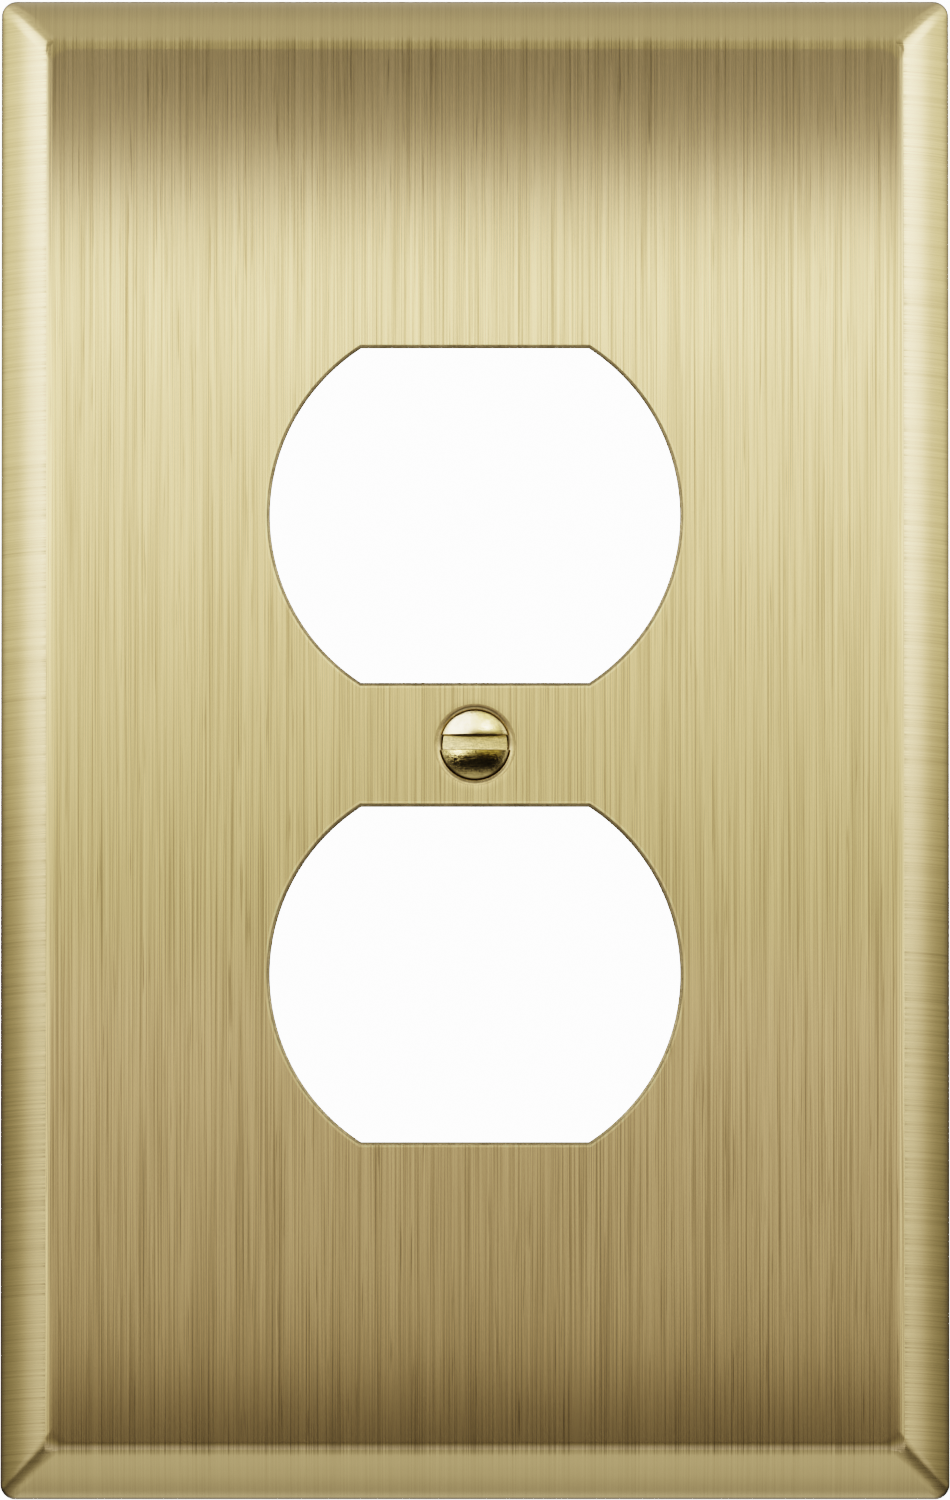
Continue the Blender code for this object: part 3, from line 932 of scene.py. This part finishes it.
def build_front_light(cover):
    """Gradient in front of the face: brightest above the middle, dark bands at its top and bottom.

    Two narrow sheets, a little nearer the plate, brighten the folds along its left and right sides.
    """
    low, high = -165 * MM, 105 * MM
    half_width = 160 * MM
    y = -(PLATE_DEPTH + 120 * MM)
    corners = upright_corners(-half_width, half_width, y, low, high)
    dusk, noon, bright, haze = (0.93, 1.0), (0.985, 0.94), (0.968, 0.92), (0.99, 1.25)
    heights = (
        (-165, 0.0, dusk),
        (-158, 0.33, haze),
        (-135, 0.29, haze),
        (-110, 0.25, haze),
        (-83, 0.15, noon),
        (-62, 0.085, dusk),
        (-54, 0.06, dusk),
        (-52, 0.075, dusk),
        (-49.5, 0.09, dusk),
        (-45, 0.26, dusk),
        (-40.6, 0.32, dusk),
        (-36, 0.36, dusk),
        (-28, 0.385, dusk),
        (-13.7, 0.525, dusk),
        (-4.7, 0.53, noon),
        (9, 0.72, noon),
        (22, 0.9, bright),
        (31, 1.12, bright),
        (40, 1.23, bright),
        (45, 1.48, bright),
        (49, 1.63, bright),
        (53.6, 1.42, bright),
        (58.1, 0.67, haze),
        (61.7, 0.27, haze),
        (64.4, 0.165, haze),
        (67, 0.165, haze),
        (71, 0.145, haze),
        (90, 0.13, haze),
        (105, 0.0, haze),
    )
    up = [((mm * MM - low) / (high - low), light(level, *shade)) for mm, level, shade in heights]
    half = ((0.0, 1.5), (0.12, 1.4), (0.2, 1.55), (0.25, 1.5), (0.32, 1.15), (0.4, 1.0))
    across = [(place, light(level)) for place, level in half]
    across += [(1 - place, colour) for place, colour in reversed(across)]
    lit_only(light_sheet("front light", corners, across, up), cover)
    beside_face = ((0, 0), (0.1, 0.8), (0.3, 0.8), (0.4, 0.5), (0.5, 0))
    beside_top = ((0.74, 0), (0.82, 0.5), (0.9, 0.5), (1, 0))
    for name, side in (("left fold light", -1), ("right fold light", 1)):
        inner = side * 95 * MM
        corners = upright_corners(side * half_width, inner, y + 2 * MM, -68 * MM, 90 * MM)
        across = [(0.0, light(1.0)), (0.5, light(1.0)), (1.0, light(0.0))]
        up = [(place, light(level)) for place, level in beside_face + beside_top]
        lit_only(light_sheet(name, corners, across, up), cover)


def build_screw_lights(screw):
    """Softbox for the screw alone, brighter on the left, and three bright patches nearer the screw."""
    y = -(PLATE_DEPTH + 120 * MM)
    sheet_gap = 3 * MM
    plain, white, warm, gold = (1.0, 1.0), (1.05, 1.6), (0.97, 0.72), (0.92, 0.45)
    across = (
        (0.0, 0.0, plain),
        (0.08, 2.0, plain),
        (0.42, 1.8, plain),
        (0.567, 1.1, warm),
        (0.65, 0.75, gold),
        (0.92, 0.7, gold),
        (1.0, 0.0, gold),
    )
    up = (
        (0.0, 0.0, plain),
        (0.033, 0.8, plain),
        (0.083, 0.8, plain),
        (0.119, 0.36, warm),
        (0.231, 0.36, warm),
        (0.293, 1.8, white),
        (0.9, 1.8, white),
        (1.0, 0.6, white),
    )
    spot = ((0.0, 0.0, plain), (0.3, 2.6, plain), (0.7, 2.6, plain), (1.0, 0.0, plain))
    glint = [(place, level, white) for place, level, _ in spot]
    glow = ((0.0, 0.0), (0.12, 0.5), (0.5, 0.8), (0.8, 0.6), (1.0, 0.0))
    glow = [(place, level, plain) for place, level in glow]
    patches = (
        ("screw softbox", (-170, 130), (-26, 215), across, up),
        ("lip glow", (-150, 8), (-25, -3), glow, spot),
        ("left patch", (-96, -44), (-26, -4), spot, spot),
        ("right patch", (18, 76), (70, 104), glint, spot),
    )
    for i, (name, (left, right), (bottom, top), across, up) in enumerate(patches):
        depth = y - (len(patches) - i) * sheet_gap
        corners = upright_corners(left * MM, right * MM, depth, bottom * MM, top * MM)
        across = [(place, light(level, *shade)) for place, level, shade in across]
        up = [(place, light(level, *shade)) for place, level, shade in up]
        lit_only(light_sheet(name, corners, across, up), screw)


def side_pair(name, x, depths, heights):
    """Two sheets beside the plate, from depths (mm, level, shade) and heights (mm, level).

    The depths run from behind the wall to the front, the heights upwards.
    """
    back, front = depths[0][0], depths[-1][0]
    low, high = heights[0][0], heights[-1][0]
    across = [((back - mm) / (back - front), light(level, *shade)) for mm, level, shade in depths]
    up = [((mm - low) / (high - low), light(level)) for mm, level in heights]
    for side_name, side in (("left", -1), ("right", 1)):
        corners = [(back, low), (front, low), (front, high), (back, high)]
        corners = [(side * x * MM, depth * MM, height * MM) for depth, height in corners]
        light_sheet(side_name + name, corners, across, up)


def build_side_lights():
    """Bright sheets beside the plate, brightest towards the front and upwards.

    A second pair, all behind the wall's plane, adds light for the upper half of the sides.
    """
    gold, pale, cool = (1.0, 0.9), (1.0, 1.0), (1.0, 1.1)
    depths = (
        (200, 0.04, gold),
        (143, 0.1, gold),
        (103, 0.16, gold),
        (89, 0.31, gold),
        (78, 0.39, gold),
        (53, 0.475, gold),
        (30, 0.59, pale),
        (12, 0.82, pale),
        (-1, 1.06, cool),
        (-27, 1.45, cool),
        (-45, 1.45, cool),
        (-80, 1.3, cool),
        (-125, 1.1, cool),
    )
    heights = (
        (-110, 0.26),
        (-47, 0.43),
        (-40, 0.44),
        (-32, 0.42),
        (-19, 0.49),
        (-2, 0.61),
        (10.6, 0.93),
        (23, 1.42),
        (40, 1.6),
        (53, 1.75),
        (62, 1.8),
        (90, 1.8),
        (200, 0.9),
    )
    side_pair(" light", 160, depths, heights)
    depths = ((135, 0.0), (103, 0.1), (89, 0.17), (78, 0.18), (53, 0.12), (30, 0.0))
    depths = [(mm, level, gold) for mm, level in depths]
    heights = ((8, 0.0), (23, 0.8), (40, 1.0), (90, 1.05), (160, 0.0))
    side_pair(" upper light", 158, depths, heights)


def build_flag():
    """Grey flag above the front, which keeps the upper light off the fold along the top."""
    half_width = 60 * MM
    y = -35 * MM
    low, high = 63 * MM, 110 * MM
    corners = upright_corners(-half_width, half_width, y, low, high)
    across = ((0.0, light(1.0)), (1.0, light(1.0)))
    up = ((0.0, light(0.32)), (0.55, light(0.35)), (1.0, light(0.42)))
    light_sheet("flag", corners, across, up, opaque=True)


def build_world():
    """Pale backdrop for the camera; soft studio light by direction for everything else."""
    world = bpy.data.worlds.new("studio")
    bpy.context.scene.world = world
    world.use_nodes = True
    tree = world.node_tree
    tree.nodes.clear()
    direction = node(tree, "SeparateXYZ", {0: node(tree, "TexCoord").outputs["Generated"]})
    right, back, up = direction.outputs
    turn = maths(tree, "ARCTAN2", maths(tree, "ABSOLUTE", right), maths(tree, "MULTIPLY", back, -1.0))
    turn = maths(tree, "DEGREES", turn)
    lift = maths(tree, "DEGREES", maths(tree, "ARCSINE", up))

    def by_lift(stops):
        colours = [(degrees, light(level / STUDIO_STRENGTH, 1.01, 1.09)) for degrees, level in stops]
        return ramp(tree, lift, colours)

    ahead = by_lift(
        (
            (-90, 0.51),
            (-83, 0.56),
            (-74, 0.55),
            (-66, 0.45),
            (-56, 0.41),
            (-48, 0.36),
            (-41, 0.33),
            (-37, 0.12),
            (-33, 0.03),
            (-8, 0.015),
            (6, 0.02),
            (14, 0.2),
            (22, 0.3),
            (44, 0.35),
            (62, 0.44),
            (90, 0.41),
        )
    )
    beside = by_lift(
        (
            (-90, 0.51),
            (-68, 0.42),
            (-50, 0.2),
            (-18, 0.05),
            (12, 0.04),
            (35, 0.5),
            (62, 0.6),
            (90, 0.41),
        )
    )
    behind = by_lift(
        (
            (-90, 0.51),
            (-78, 0.42),
            (-62, 0.35),
            (-40, 0.7),
            (-20, 0.95),
            (10, 0.9),
            (30, 0.5),
            (56, 0.36),
            (71, 0.37),
            (90, 0.41),
        )
    )
    colour = mix(tree, span(tree, turn, 28, 52, smooth=True), ahead, beside)
    colour = mix(tree, span(tree, turn, 135, 165, smooth=True), colour, behind)
    studio = node(tree, "Background", {"Color": colour, "Strength": STUDIO_STRENGTH}).outputs[0]
    backdrop = node(tree, "Background", {"Color": light(1.0), "Strength": BACKDROP_STRENGTH}).outputs[0]
    seen = node(tree, "LightPath").outputs["Is Camera Ray"]
    shown = node(tree, "MixShader", {0: seen, 1: studio, 2: backdrop}).outputs[0]
    node(tree, "OutputWorld", {"Surface": shown})


def build_floor():
    """Pale round floor that fades into the backdrop."""
    height = plate_low.z - 28 * MM
    radius = 0.5
    mesh = bpy.data.meshes.new("floor")
    shape = bmesh.new()
    bmesh.ops.create_circle(shape, cap_ends=True, radius=radius, segments=96)
    shape.to_mesh(mesh)
    shape.free()
    floor = bpy.data.objects.new("floor", mesh)
    floor.location = (0, 0, height)
    bpy.context.scene.collection.objects.link(floor)
    material = bpy.data.materials.new("pale floor")
    material.use_nodes = True
    tree = material.node_tree
    tree.nodes.clear()
    place = node(tree, "TexCoord").outputs["Object"]
    distance = node(tree, "VectorMath", {0: place}, operation="LENGTH").outputs["Value"]
    fade = span(tree, distance, 0.25, radius, smooth=True)
    matt = node(tree, "BsdfDiffuse", {"Color": light(0.82)}).outputs[0]
    glow = node(tree, "Emission", {"Color": light(1.0), "Strength": 0.9}).outputs[0]
    pale = node(tree, "AddShader", {0: matt, 1: glow}).outputs[0]
    clear = node(tree, "BsdfTransparent").outputs[0]
    faded = node(tree, "MixShader", {0: fade, 1: pale, 2: clear}).outputs[0]
    node(tree, "OutputMaterial", {"Surface": faded})
    mesh.materials.append(material)
    floor.visible_glossy = False
    floor.visible_shadow = False


def set_tone():
    """Soft film response with strong contrast."""
    settings = bpy.context.scene.view_settings
    settings.view_transform = "Filmic"
    settings.look = "High Contrast"


cover = build_cover_plate()
screw = build_mounting_screw()
build_retaining_washer()
build_camera()
build_front_light(cover)
build_screw_lights(screw)
build_side_lights()
build_flag()
build_world()
build_floor()
set_tone()
